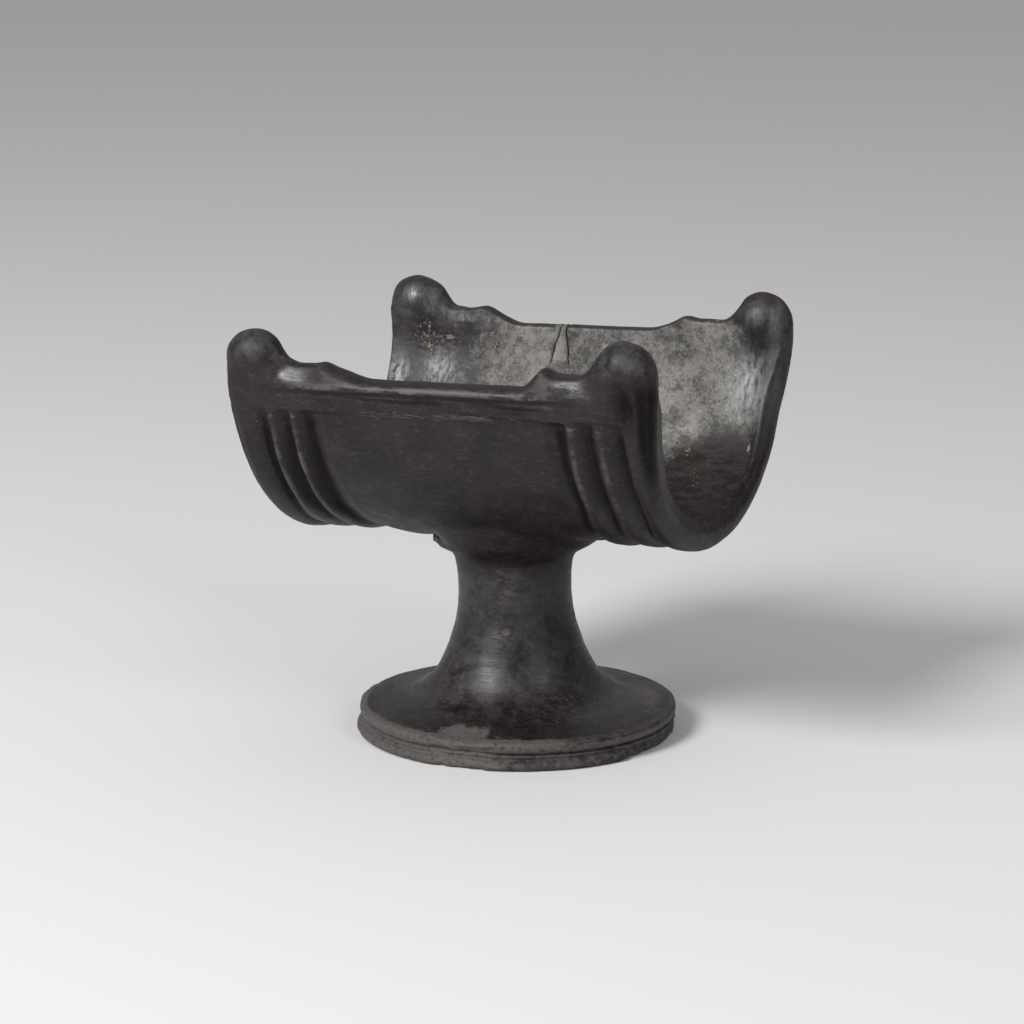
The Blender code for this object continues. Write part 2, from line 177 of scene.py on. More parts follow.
# Soft patches on the trough: strength, middle (x, z) and half sizes
SCOOP_ENDS = [(1, 47.5, 2.5, 4, 4)]
CRUST_PATCHES = [(1, -49.5, -0.5, 5, 6), (0.7, -42, -3, 4, 2.2)]
DIMPLE_PATCH = [(1, 57.4, -2, 2.6, 7)]
# Painted shade as gaps in the deposit under the far left ledge and below the far right knob, and one more
# darker gap on the far wall
SHADED_PATCHES = [(1, 56.5, -1.5, 4.2, 6.5), (0.5, -37, 0.3, 8, 1.6), (0.45, 30.5, -5, 5, 3)]
# Glossy patches on the far wall and knobs, also painted in a pale sheen colour where they catch the light
GLOSS_AND_SHEEN_PATCHES = [
    (1.5, 53, -12, 4.6, 7.5), (1.1, -57.5, -13, 3.2, 4), (0.8, -44.5, -11, 4.5, 5),
    (0.7, -38, 4, 5, 1.4), (0.8, -54, 10.8, 2.4, 1.6), (0.4, -48, 8, 2, 3),
    (0.25, 54.5, 8, 3.2, 3), (0.25, 60.5, 6.5, 1.6, 4),
]
OCHRE_PATCHES = [
    (1.6, -6.2, 2.2, 1.3, 1.4), (1.5, -42.3, -1.8, 1.9, 1.1), (1.4, -48.5, -5.3, 1, 1.8),
    (1.1, 42, 4.7, 4, 1.8), (0.9, 33, 5.5, 3, 1.4), (0.9, -27, -2, 7, 3.5),
    (1.1, 30, -20.8, 3, 1.6), (0.95, 38.5, -29, 2, 4.5), (0.9, -38, 5.2, 8, 1.3),
    (0.7, -12, -9, 30, 7), (0.7, 38, -6, 9, 10), (0.3, 37.3, -2, 3, 2.5),
]
OLIVE_PATCH = [(0.9, -33, -9.5, 1.2, 0.8)]
EARTH_PATCH = [(0.9, 30.8, -12.6, 1.6, 1.6)]
CRUMB_PATCHES = [
    (1.5, 15, -6.9, 16, 1.3), (1.3, -45, -6.9, 7, 0.9), (0.9, -33, -0.9, 5, 1),
    (1, 45, -7.6, 7, 0.8), (1.4, -12, -7.3, 18, 1.5), (1.3, -6, -12.3, 1.8, 0.7),
]
DOT_PATCHES = [(1.6, 56.3, -28.3, 0.8, 3.6), (0.75, 45, -35, 8, 5), (0.8, 35, -24, 2.4, 4)]
HUMP_PATCHES = [(0.7, 34.5, 2, 3, 2), (0.5, -36.5, 0.5, 3, 1.5)]
SCOOP_PATCHES = [(2, -44.5, 2.2, 5, 2), (2, 41.5, 2.2, 5, 2.2)]
RED_PATCHES = [(1, 26, -42, 12, 10), (1, -41, -10, 7, 3), (1, 43, -9.5, 7, 3)]
PRESSED_PATCHES = [(1, 58, 0, 2.6, 7), (0.5, -53, 0, 6, 9)]

# Soft patches on the foot: strength, middle and half sizes, by angle and height, then angle and radius
FLAKE_PATCH = [(1, -86, 5, 13, 9)]
SCUFF_PATCHES = [(0.8, -76, 45, 16, 5.5), (1.3, -78, 31, 9, 1.6), (0.4, -110, 20, 25, 8)]
SPECK_PATCH = [(0.9, 20, 38, 16, 3.5)]
# Painted sheen on the disc's top, at right and at left
DISC_SHEEN_PATCHES = [(1.4, 46, 35, 24, 6), (0.65, 160, 38, 16, 5)]

# Colours of the clay and of what lies on it, in linear light
BLACK_CLAY = (0.0085, 0.005, 0.006)
BROWN_CLAY = (0.0185, 0.0122, 0.0132)
RED_CLAY = (0.023, 0.0085, 0.009)
# Dark pits, and painted shade in grooves and recesses
PIT_AND_SHADE_CLAY = (0.0048, 0.0028, 0.0034)
WORN_CLAY = (0.106, 0.095, 0.09)
STONE_DUST = (0.42, 0.4, 0.37)
FILM_PALE = (0.325, 0.312, 0.29)
FILM_TAN = (0.215, 0.186, 0.142)
FILM_GREY = (0.066, 0.064, 0.062)
# Painted sheen: the pale bluish white of light caught on glossy patches
PAINTED_SHEEN = (0.43, 0.445, 0.45)
FILM_PITS = (0.022, 0.019, 0.018)
SMOKED_CLAY = (0.042, 0.039, 0.039)
CRUMBS = (0.355, 0.28, 0.25)
OCHRE = (0.33, 0.245, 0.165)
BROWN_EARTH = (0.05, 0.03, 0.021)
DARK_CRUST = (0.014, 0.009, 0.008)
CRACK_AND_SHADE_DARK = (0.006, 0.004, 0.003)
PAPER = (0.8, 0.8, 0.8, 1)

# Camera at the photograph's viewpoint, in metres and degrees
CAMERA_PLACE = (0.4269, -0.8881, 0.2778)
CAMERA_TURN = 25.686
CAMERA_DOWN = 12.34
CAMERA_LENS = 126.42
CAMERA_AZIMUTH = math.degrees(math.atan2(CAMERA_PLACE[1], CAMERA_PLACE[0]))

# Soft boxes: degrees round from the camera and up, distance, width and height in metres, and watts
LIGHTS = [("key", -48, 36, 1.7, 0.6, 0.7, 25.5), ("strip", 38, 32, 1.4, 0.3, 0.7, 3)]
LIGHT_TARGET = (0, 0, 0.07)
HORIZON_LIGHT = 0.03
ZENITH_LIGHT = 0.5
BACKDROP_LIGHT = 0.16
FLOOR_HALF = 12


def unit(value):
    """Value held between 0 and 1."""
    return np.clip(value, 0, 1)


def smooth(start, end, value):
    """0 at start and 1 at end, with level ends. The end may be the lower of the two."""
    t = unit((value - start) / (end - start))
    return t * t * (3 - 2 * t)


def between(low, high, share):
    """From low where share is 0 to high where it is 1."""
    return low + (high - low) * share


def bump(value, centre, width):
    """Bell of height 1 at centre."""
    return np.exp(-((value - centre) / width) ** 2)


def soft_max(a, b, softness):
    """The larger of two values, rounded where they cross."""
    share = unit(0.5 + 0.5 * (a - b) / softness)
    return between(b, a, share) + softness * share * (1 - share)


def quarter_round(value):
    """Fall from 1 at 0 to 0 at 1 along a quarter circle."""
    return np.sqrt(unit(1 - value ** 2))


def noise(points, size, shift=0):
    """Smooth noise from about -1 to 1 at points in millimetres, with features of a size in millimetres."""
    offset = mathutils.Vector((shift, 2.7 * shift, -1.3 * shift))
    value = mathutils.noise.noise
    scaled = points / size
    return np.array([value(mathutils.Vector(point) + offset) for point in scaled])


def lobe(value, start, end, sharpness, skew):
    """Rounded rise between two grooves: 0 at its ends, 1 on its crest, narrower where sharper."""
    share = unit((value - start) / (end - start)) ** skew
    return (1 - abs(2 * share - 1) ** RIB_FULLNESS) ** sharpness


def grooves_at(z, end):
    """The three grooves' distances from the middle at height z."""
    side = smooth(-46, -32, z)
    return [between(low, high, side) for low, high in zip(BASE_GROOVES[end], SIDE_GROOVES[end])]


def end_relief(x, z, end):
    """Ribs, grooves and end roll above the body's outer surface at a distance x from the middle."""
    roll, middle, body = grooves_at(z, end)
    depth = between(GROOVE_DEPTH_BELOW, GROOVE_DEPTH_BESIDE[end], smooth(-44, -26, z))
    proud = between(RIB_PROUD_BELOW, RIB_PROUD_BESIDE, smooth(-46, -36, z))
    proud *= 1 - 0.55 * smooth(-24, -10, z)
    below_band = smooth(-6.4, -9, z)
    sharpness = between(1, RIB_SHARPNESS[end], smooth(-44, -30, z))
    skew = between(1, RIB_SKEW[end], smooth(-44, -32, z))
    lobes = lobe(x, body, middle, sharpness, skew) + lobe(x, middle, roll, sharpness, skew)
    ribs = (proud + depth) * lobes
    relief = (ribs - depth * smooth(body - GROOVE_SLOPE, body, x)) * below_band
    onto_roll = unit((x - roll) / ROLL_LENGTH)
    return relief + (ROLL_PROUD + depth * below_band) * quarter_round(1 - onto_roll)


def band_relief(z):
    """The band and the lip above the body's outer surface at height z."""
    relief = BAND_PROUD * smooth(BAND_BOTTOM - 1.2, BAND_BOTTOM + 1.1, z)
    relief += 0.12 * bump(z, -6.1, 0.8)
    relief -= 0.25 * bump(z, -2.2, 0.6)
    return relief + 0.5 * smooth(-1.9, -0.9, z)


def rim_height(end, side, x):
    """Height of the rim's ridge at a distance x from the middle, without the knob."""
    corner = CORNERS[end, side]
    far_corner = CORNERS[-end, side]
    middle = 0.5 * (corner.low_rim + far_corner.low_rim)
    low = between(middle, corner.low_rim, np.minimum(x / 30, 1))
    climb = smooth(corner.slope_start, corner.hump_x + 1, x)
    peak = (corner.hump - corner.shelf) * bump(x, corner.hump_x, HUMP_WIDTH)
    return between(low, corner.shelf, climb) + peak


def outer_wall(x, z, to_end, end, side):
    """Offset of the outer face from the wall's middle, below the lip's widest line."""
    fade = (33, 45) if (end, side) == (1, -1) else (50.2, 51.4)
    band = 1 - smooth(*fade, x)
    offset = OUTER_HALF_WIDTH - WALL_MIDDLE + end_relief(x, z, end)
    offset += band_relief(z) * band
    on_roll = smooth(SIDE_GROOVES[end].roll - 1, SIDE_GROOVES[end].roll + 2, x)
    offset += ROLL_PROUD * smooth(-8, -5.5, z) * (1 - band) * (1 - on_roll)
    offset += BELLY * unit(1 - (x / 35) ** 2) * smooth(-10, -30, z)
    beside = smooth(-34, -20, z) * smooth(5, 2, z)
    offset -= 0.9 * bump(to_end, EDGE_GROOVE, 0.6) * beside * (1 if end > 0 else 0.4)
    rounding = unit(1 - to_end / END_ROUNDING)
    return offset - END_ROUNDING * (1 - quarter_round(rounding))


def inner_wall(x, z, to_end, end, side):
    """Offset of the inner face from the wall's middle, below the rim."""
    floor = FLOOR_THICKENING * bump(x, 0, 30) * smooth(-20, -42, z)
    wall = INNER_HALF_WIDTH - WALL_MIDDLE - floor
    rise = between(FLANGE_RISE_BELOW, FLANGE_RISE_BESIDE, smooth(-42, -20, z))
    rise *= 1 - smooth(*FLANGE_TOPS[end, side], z)
    slope = between(FLANGE_SLOPE[end], FLANGE_SLOPE_BESIDE[end], smooth(-36, -14, z))
    band = wall - rise * smooth(FLANGE_BACK[end] + slope, FLANGE_BACK[end], to_end)
    bead = END_BEAD_OFFSET * quarter_round(unit(1 - to_end / END_BEAD))
    return bead + (band - END_BEAD_OFFSET) * smooth(0.5 * END_BEAD, 1.8 * END_BEAD, to_end)


def knob_top(corner, from_knob):
    """Height of the knob's outline: a dome, then a straight flank down to the shelf."""
    edge = DOME_SHARE * corner.inboard
    top = corner.height + corner.radius
    if from_knob < edge:
        return top - corner.inboard + math.sqrt(corner.inboard ** 2 - from_knob ** 2)
    drop = corner.inboard * (1 - math.sqrt(1 - DOME_SHARE ** 2))
    slope = DOME_SHARE / math.sqrt(1 - DOME_SHARE ** 2)
    return top - drop - slope * (from_knob - edge)


def knob_profile(z, corner, top, half, power, root):
    """Half thickness of the knob and of the post that carries it at height z."""
    above = unit((z - corner.height) / max(top - corner.height, TINY))
    up_the_post = unit((z - POST_START) / (corner.height - POST_START))
    post = between(root, 1, up_the_post ** power)
    thickness = half * np.where(z > corner.height, quarter_round(above), post)
    return np.where(z < POST_START, -WALL_MIDDLE, thickness)


def side_section(end, side, station, turn):
    """Outer and inner points of one side at a station, from the floor's middle to the rim.

    Station is the distance from the middle, up to the knob's centre, and turn is the angle
    from there round the end, from 0 to a quarter turn.
    """
    corner = CORNERS[end, side]
    last = turn > 0.5 * math.pi - TINY

    # How much of the knob this station cuts, and the height of the ridge
    start = min(station, STRETCH_FROM)
    stretch = (station - start) / (KNOB_X - STRETCH_FROM)
    from_knob = (corner.knob_x - STRETCH_FROM) * (1 - stretch) + STRETCH_FROM - start
    ridge = rim_height(end, side, station)
    if turn > 0:
        share = math.cos(turn)
        top = corner.height + corner.radius * share
    else:
        share = smooth(KNOB_SPREAD, 0, from_knob / corner.inboard) ** 0.75
        top = float(soft_max(ridge, knob_top(corner, from_knob), corner.blend))
        top = between(top, corner.height + corner.radius, smooth(1.5, 0, from_knob))
        ridge = between(ridge, top, smooth(0.6, 0, share))

    # Heights down the side: oval floor, band, then the upper part up to the ridge
    floor_angles = np.linspace(0, math.acos(-FLOOR_END / OUTER_DEPTH), FLOOR_POINTS + 1)
    band_angles = np.arccos(-np.linspace(FLOOR_END, UPPER_START, BAND_POINTS + 1)[1:] / OUTER_DEPTH)
    angles = np.concatenate([floor_angles, band_angles])
    rises = np.sin(np.linspace(0, 0.5 * math.pi, UPPER_POINTS + 1)[1:])
    z = np.concatenate([-OUTER_DEPTH * np.cos(angles), UPPER_START + (top - UPPER_START) * rises])

    # Distance along the trough: the knobs stand out past the ends of the floor
    knob_x = between(KNOB_X, corner.knob_x, smooth(-35, 0, z))
    end_x = between(END_X, corner.knob_x + corner.radius, smooth(corner.post_foot, corner.height - 1, z))
    x = start + (knob_x - STRETCH_FROM) * stretch + (end_x - knob_x) * math.sin(turn)
    to_end = end_x - x

    # Rim: a round lip along the low part, and a concave scoop below hump and shelf
    outer = outer_wall(x, z, to_end, end, side)
    inner = inner_wall(x, z, to_end, end, side)
    ridge_offset = between(RIDGE_OFFSET, CLOSING_OFFSET, smooth(46, 54, x))
    scoop = smooth(corner.hump_x - 3.5, corner.hump_x + 4, station) * smooth(54, 46, station)
    lip = between(LIP_Z, SCOOP_Z, scoop)
    above_lip = unit((z - lip) / (ridge - lip))
    edge = between(np.sqrt(1 - above_lip ** 8), (1 - above_lip) ** 1.6, SCOOP_FALL[end])
    closing = between(quarter_round(above_lip), edge, scoop)
    outer = np.where(z > lip, between(ridge_offset, outer, closing), outer)
    pillow_x, pillow_z, pillow_length, pillow_height, pillow = SCOOP_BULGES[end]
    pillow *= bump(x, pillow_x, pillow_length) * bump(z, pillow_z, pillow_height)
    outer += pillow * smooth(0, 0.3, scoop)
    near_ridge = unit((z - ridge + 1.5) / 1.5)
    inner = between(ridge_offset, inner, quarter_round(near_ridge ** 2))

    # Knob and its post, merged softly with the wall, and the dimple pressed below the knob
    softness = max(SOFTNESS * smooth(0, 0.35, share), 0.05)
    if share > 0:
        outer = soft_max(outer, knob_profile(z, corner, top, corner.reach * share, 1.1, 0.12), softness)
        bulge = knob_profile(z, corner, top, corner.inner_reach * share, 1.3, 0.3)
        inner = -soft_max(-inner, bulge, softness)
    dimple_x, dimple_z, dimple_length, dimple_height, depth = DIMPLES[end]
    dimple = bump(x, dimple_x, dimple_length) * bump(z, dimple_z, dimple_height)
    outer -= depth * dimple * smooth(0.3, 3, to_end)
    if side > 0 and end < 0:
        ledge = smooth(2.1, 3.1, z) * smooth(29, 36, x) * smooth(47, 38, x)
        inner -= 0.6 * ledge * (1 - near_ridge ** 3)
    if last:
        outer[:] = inner[:] = CLOSING_OFFSET
    outer[-1] = ridge_offset[-1] * smooth(0.5, 0.1, share)
    inner[-1] = outer[-1]

    # Offsets become points: radial on the oval floor, sideways above the axis
    count = len(angles)
    sheets = []
    for offset, depth in ((outer, OUTER_DEPTH - OUTER_HALF_WIDTH), (inner, INNER_DEPTH - INNER_HALF_WIDTH)):
        across = WALL_MIDDLE + offset
        up = z.copy()
        up[:count] = -(depth + across[:count]) * np.cos(angles)
        across[:count] *= np.sin(angles)
        sheets.append(np.stack([end * x, side * across, up], axis=1))
    if last:
        sheets = [0.5 * (sheets[0] + sheets[1])] * 2
    return sheets


def trough_stations():
    """Every station from the left end to the right: end, distance from the middle, and turn."""
    fine = np.linspace(FINE_FROM, KNOB_X, FINE_STATIONS)
    coarse = np.linspace(0, FINE_FROM, COARSE_STATIONS)[:-1]
    first, last, _ = CRACK_STATIONS
    beside_cracks = coarse[(coarse < first - 0.4) | (coarse > last + 0.3)]
    stations = {-1: np.union1d(beside_cracks, np.arange(*CRACK_STATIONS)), 1: coarse[1:]}
    rows = {}
    for end in (-1, 1):
        rows[end] = [(end, station, 0) for station in np.concatenate([stations[end], fine])]
        rows[end] += [(end, KNOB_X, 0.5 * math.pi * step / END_TURNS) for step in range(1, END_TURNS + 1)]
    return rows[-1][::-1] + rows[1]


def trough_sheets():
    """The trough's outer and inner points, one row for each station, from near rim to far rim."""
    rows = []
    for end, station, turn in trough_stations():
        sides = [side_section(end, side, station, turn) for side in (-1, 1)]
        rows.append([np.concatenate([near[:0:-1], far]) for near, far in zip(*sides)])
    return np.moveaxis(rows, 1, 0)


def placed(points):
    """Points of the trough in the stand's frame, still in millimetres."""
    x = points[..., 0] * math.cos(TILT) - points[..., 2] * math.sin(TILT)
    z = AXIS_HEIGHT + points[..., 0] * math.sin(TILT) + points[..., 2] * math.cos(TILT)
    return np.stack([x, points[..., 1], z], axis=-1)


def unplaced(points):
    """Points of the stand in the trough's own frame, in millimetres."""
    z = points[..., 2] - AXIS_HEIGHT
    x = points[..., 0] * math.cos(TILT) + z * math.sin(TILT)
    up = -points[..., 0] * math.sin(TILT) + z * math.cos(TILT)
    return np.stack([x, points[..., 1], up], axis=-1)


def add_to_scene(name, data):
    item = bpy.data.objects.new(name, data)
    bpy.context.scene.collection.objects.link(item)
    return item


def new_object(name, vertices, faces):
    data = bpy.data.meshes.new(name)
    data.from_pydata([tuple(vertex) for vertex in vertices], [], faces)
    data.validate()
    return add_to_scene(name, data)


def make_trough():
    outer, inner = trough_sheets()
    rows, columns = outer.shape[:2]
    outer_index = np.arange(rows * columns).reshape(rows, columns)
    inner_index = outer_index.copy()
    own = np.zeros((rows, columns), bool)
    own[1:-1, 1:-1] = True
    inner_index[own] = rows * columns + np.arange(own.sum())
    vertices = placed(np.concatenate([outer.reshape(-1, 3), inner[own]]))
    faces = []
    for index, outward in ((outer_index, True), (inner_index, False)):
        corners = [index[:-1, :-1], index[:-1, 1:], index[1:, 1:], index[1:, :-1]]
        quads = np.stack(corners if outward else corners[::-1], axis=-1)
        faces += quads.reshape(-1, 4).tolist()
    return new_object("trough", vertices * MM, faces)


def curve_through(points, step):
    """Points at about a step apart on a smooth curve through given points, without overshoot."""
    points = np.array(points, float)
    chord = np.hypot(*np.diff(points, axis=0).T)
    distance = np.concatenate([[0], np.cumsum(chord)])
    count = max(2, int(round(distance[-1] / step)) + 1)
    if len(points) == 2:
        return np.linspace(points[0], points[1], count)
    slopes = np.diff(points, axis=0) / chord[:, None]
    before, after = chord[:-1, None], chord[1:, None]
    mean = (slopes[:-1] * after + slopes[1:] * before) / (before + after)
    limit = 3 * np.minimum(abs(slopes[:-1]), abs(slopes[1:]))
    middle = np.where(slopes[:-1] * slopes[1:] > 0, np.clip(mean, -limit, limit), 0)
    tangents = np.concatenate([slopes[:1], middle, slopes[-1:]])
    along = np.linspace(0, distance[-1], count)
    piece = np.clip(np.searchsorted(distance, along, side="right") - 1, 0, len(chord) - 1)
    length = chord[piece][:, None]
    t = ((along - distance[piece]) / chord[piece])[:, None]
    start, end = points[piece], points[piece + 1]
    leave, arrive = tangents[piece] * length, tangents[piece + 1] * length
    return (
        start * (2 * t ** 3 - 3 * t ** 2 + 1) + leave * (t ** 3 - 2 * t ** 2 + t)
        + end * (3 * t ** 2 - 2 * t ** 3) + arrive * (t ** 3 - t ** 2)
    )


def underside(x, y):
    """Height of the trough's plain underside, taken as level beyond the reach of the foot."""
    curve = np.sqrt(1 - (np.clip(y, -40, 40) / OUTER_HALF_WIDTH) ** 2)
    return AXIS_HEIGHT - (OUTER_DEPTH + BELLY) * curve + x * math.tan(TILT)


def broken_at(angle):
    """1 where the collar's edge is broken off, at an angle in degrees round the foot."""
    from_middle = abs((angle - BROKEN_MIDDLE + 180) % 360 - 180)
    return smooth(BROKEN_HALF + BROKEN_FADE, BROKEN_HALF, from_middle)


def make_foot():
    """The foot as rings from the middle of its top, down the outside and up the hollow."""
    runs = [curve_through(FLARE, 1.1), curve_through(FASCIA, 0.4)[1:]]
    runs += [curve_through(STANDING, 1.5)[1:], curve_through(HOLLOW, 3)[1:-1]]
    profile = np.concatenate(runs)
    angles = np.linspace(0, 2 * math.pi, FOOT_TURNS, endpoint=False)
    around = np.stack([np.cos(angles), np.sin(angles)], axis=-1)
    lean = FOOT_LEAN * np.clip(profile[:, 1] - LEAN_START, 0, None)
    oval = 1 + FOOT_OVAL * smooth(22, 40, profile[:, :1]) * np.cos(angles - OVAL_DIRECTION) ** 2
    places = (oval * profile[:, :1])[..., None] * around + FOOT_CENTRE
    places += np.outer(lean, LEAN_DIRECTION)[:, None]
    heights = np.repeat(profile[:, 1:, None], FOOT_TURNS, axis=1)
    rings = np.concatenate([places, heights], axis=-1)

    # Above its edge the collar curves out until it lies along the trough's underside
    centre = rings[0, :, :2].mean(axis=0)
    radius = np.linspace(COLLAR_REACH, COLLAR_EDGE[0], COLLAR_ROWS + 1)[:-1]
    radius = np.concatenate([np.linspace(CORE_RADIUS, COLLAR_REACH - 0.5, CORE_ROWS), radius])
    inside = np.arange(len(radius)) < CORE_ROWS
    broken = broken_at(np.degrees(angles))
    ragged = broken * (0.25 * np.sin(9 * angles) + 0.2 * np.sin(23 * angles))
    radius = np.repeat(radius[:, None], FOOT_TURNS, axis=1)
    radius[-1] -= BROKEN_STEP * broken - ragged
    rings[0, :, :2] += (ragged - BROKEN_SETBACK * broken)[:, None] * around
    lowest = underside(rings[0, :, 0], rings[0, :, 1]) - ROOT_THICKNESS - CAVITY_HEIGHT
    rings[0, :, 2] += broken * np.clip(lowest - rings[0, :, 2], 0, None)
    places = radius[..., None] * around + centre
    gap = underside(*(COLLAR_EDGE[0] * around + centre).T) - COLLAR_EDGE[1]
    inward = unit((COLLAR_REACH - radius) / (COLLAR_REACH - COLLAR_EDGE[0]))
    over = underside(*np.moveaxis(places, -1, 0))
    z = over - gap * inward ** 1.8 + 0.4 * (1 - inward)

    # The collar's edge is broken off on the left, down to a small upright face and a thin root
    root = over - ROOT_THICKNESS * smooth(ROOT_REACH, COLLAR_EDGE[0], radius)
    z = np.where(inside[:, None], over + CORE_RISE, between(z, root, broken))
    rings = np.concatenate([np.concatenate([places, z[..., None]], axis=-1), rings])

    index = np.arange(len(rings) * FOOT_TURNS).reshape(-1, FOOT_TURNS)
    following = np.roll(index, -1, axis=1)
    quads = np.stack([index[:-1], index[1:], following[1:], following[:-1]], axis=-1)
    faces = quads.reshape(-1, 4).tolist()
    top, bottom = index.size, index.size + 1
    faces += [[top, a, b] for a, b in zip(index[0].tolist(), following[0].tolist())]
    faces += [[bottom, b, a] for a, b in zip(index[-1].tolist(), following[-1].tolist())]
    middles = [[*centre, underside(*centre) + CORE_RISE], [*rings[-1].mean(axis=0)[:2], HOLLOW[-1][1]]]
    vertices = np.concatenate([rings.reshape(-1, 3), middles])
    return new_object("foot", vertices * MM, faces)


def join_foot(trough, foot):
    """One closed mesh of both."""
    join = trough.modifiers.new("foot", "BOOLEAN")
    join.operation, join.solver = "UNION", "EXACT"
    join.object = foot
    graph = bpy.context.evaluated_depsgraph_get()
    data = bpy.data.meshes.new_from_object(trough.evaluated_get(graph))
    bpy.data.objects.remove(foot)
    trough.modifiers.clear()
    trough.data = data
    return trough


def values_of(items, name, width, kind=float):
    values = np.empty(len(items) * width, kind)
    items.foreach_get(name, values)
    return values.reshape(-1, width)


def places_of(data):
    return values_of(data.vertices, "co", 3) / MM


def normals_of(data):
    return values_of(data.vertex_normals, "vector", 3)


def move_to(data, points):
    data.vertices.foreach_set("co", (points * MM).ravel())
    data.update()


def pull_of(points, first, second, step):
    """Sum at every point of the steps along its edges, which run from the first ends to the second."""
    pull = np.zeros_like(points)
    for axis in range(3):
        pull[:, axis] += np.bincount(first, step[:, axis], len(points))
        pull[:, axis] -= np.bincount(second, step[:, axis], len(points))
    return pull


def polar(points, centre):
    """Distance from an upright line, and angle round it in degrees."""
    x, y = (points[:, :2] - centre).T
    return np.hypot(x, y), np.degrees(np.arctan2(y, x))


def soften(data):
    """Round off the crease between collar and trough, the collar's edge, and the scoops' ends."""
    points = places_of(data)
    first, second = values_of(data.edges, "vertices", 2, int).T
    count = np.bincount(first, minlength=len(points)) + np.bincount(second, minlength=len(points))
    radius, angle = polar(points, COLLAR_CENTRE)
    above = points[:, 2] - underside(points[:, 0], points[:, 1])
    share = smooth(17.5, 20, radius) * smooth(35, 31, radius) * smooth(50, 52, points[:, 2])
    share *= (above < 3) * (1 - broken_at(angle) * (radius < 25.5))
    x, _, z = unplaced(points).T
    scoops = (z > -6) * patches(SCOOP_ENDS, abs(x), z)
    share = 0.6 * np.maximum(share, scoops)
    for _ in range(SOFTENING_ROUNDS):
        pull = pull_of(points, first, second, points[second] - points[first])
        points += (share / count)[:, None] * pull
    move_to(data, points)


def distance_to(line, x, z):
    """Distance of every place from a line of straight runs."""
    nearest = np.full(len(x), 1e9)
    for (x0, z0), (x1, z1) in zip(line[:-1], line[1:]):
        dx, dz = x1 - x0, z1 - z0
        along = unit(((x - x0) * dx + (z - z0) * dz) / (dx * dx + dz * dz))
        nearest = np.minimum(nearest, np.hypot(x - x0 - along * dx, z - z0 - along * dz))
    return nearest


def patches(table, across, up):
    """Sum of soft round patches: each has its strength in its middle and fades outside."""
    total = 0
    for strength, middle_across, middle_up, half_across, half_up in table:
        away = ((across - middle_across) / half_across) ** 2 + ((up - middle_up) / half_up) ** 2
        total += strength * np.exp(-away)
    return total


def curvature(data, points):
    """Bend of the surface at every vertex, per millimetre: above 0 in hollows, below 0 on edges."""
    first, second = values_of(data.edges, "vertices", 2, int).T
    step = points[second] - points[first]
    length = np.linalg.norm(step, axis=1) + TINY
    pull = pull_of(points, first, second, step / length[:, None])
    total = np.bincount(first, length, len(points)) + np.bincount(second, length, len(points))
    return 2 * (pull * normals_of(data)).sum(axis=1) / total


class Regions:
    """Where each vertex lies: on the trough's inside or outside, or on the foot."""

    def __init__(self, data):
        self.points = points = places_of(data)
        self.normals = normals = normals_of(data)
        self.x, self.y, self.z = unplaced(points).T
        self.width = abs(self.x)
        self.height = points[:, 2]
        self.above = self.height - underside(points[:, 0], points[:, 1])
        self.radius, self.angle = polar(points, FOOT_CENTRE)
        self.collar, collar_angle = polar(points, COLLAR_CENTRE)
        self.broken = broken_at(collar_angle)
        self.broken *= smooth(52, 53.6, self.height) * smooth(64, 60, self.height)
        self.foot = (self.radius < 30) * smooth(-0.7, -1.7, self.above)
        self.foot = np.where(self.height < 45, 1, self.foot)
        up = np.minimum(self.z, 0)
        reach = np.hypot(self.y, up) + TINY
        facing = (normals[:, 1] * self.y + normals[:, 2] * up) / reach
        self.inside = smooth(0.15, -0.25, facing) * (1 - self.foot) * (reach < 47.5)
        self.outside = (1 - self.inside) * (1 - self.foot)
        self.far = smooth(-6, 6, self.y)
        self.near = 1 - self.far
        self.inner_far = self.inside * self.far
        self.outer_near = self.outside * self.near
        self.band = smooth(-9.5, -7.5, self.z) * smooth(-2, -3, self.z)

        # Thick crust under the far left knob, and the ragged patch where the foot's edge lost a flake
        self.crust = unit(patches(CRUST_PATCHES, self.x, self.z)) * self.inner_far
        front = patches(FLAKE_PATCH, self.angle, self.height) + 0.4 * noise(points, 3.4, 14)
        outward = self.radius + 2.5 * noise(points, 3.2, 15)
        self.flake = smooth(0.32, 0.6, front) * smooth(34.5, 36.5, outward)


def wear_foot(area):
    """How far the foot's edges are worn or chipped back."""
    ragged = noise(area.points, 1.6, 3)
    rim = smooth(36.5, 40, area.radius) * area.foot
    top_bead = rim * smooth(4.6, 5.6, area.height)
    low_bead = rim * smooth(3.2, 2.2, area.height)
    flaked = area.flake * rim * (0.9 + 0.9 * ragged)
    right = smooth(-26, -20, area.angle + 4 * ragged) * smooth(36, 28, area.angle)
    worn = right * low_bead * (1.5 + 0.5 * ragged)
    nicks = smooth(0.3, 0.6, noise(area.points, 2.6, 11)) * (top_bead + low_bead)
    return flaked + worn + 0.35 * nicks


def crack_share(area):
    """1 in the middle of a crack, fading to its sides."""
    share = np.zeros(len(area.x))
    wobble = 0.25 * noise(area.points, 2.2, 5)
    for line in CRACKS:
        share = np.maximum(share, bump(distance_to(line, area.x + wobble, area.z), 0, CRACK_WIDTH))
    hairline = bump(distance_to(NEAR_HAIRLINE, area.x, area.z), 0, HAIRLINE_WIDTH)
    return np.maximum(share * area.far * smooth(-14, -7, area.z), 0.6 * hairline * area.outer_near)


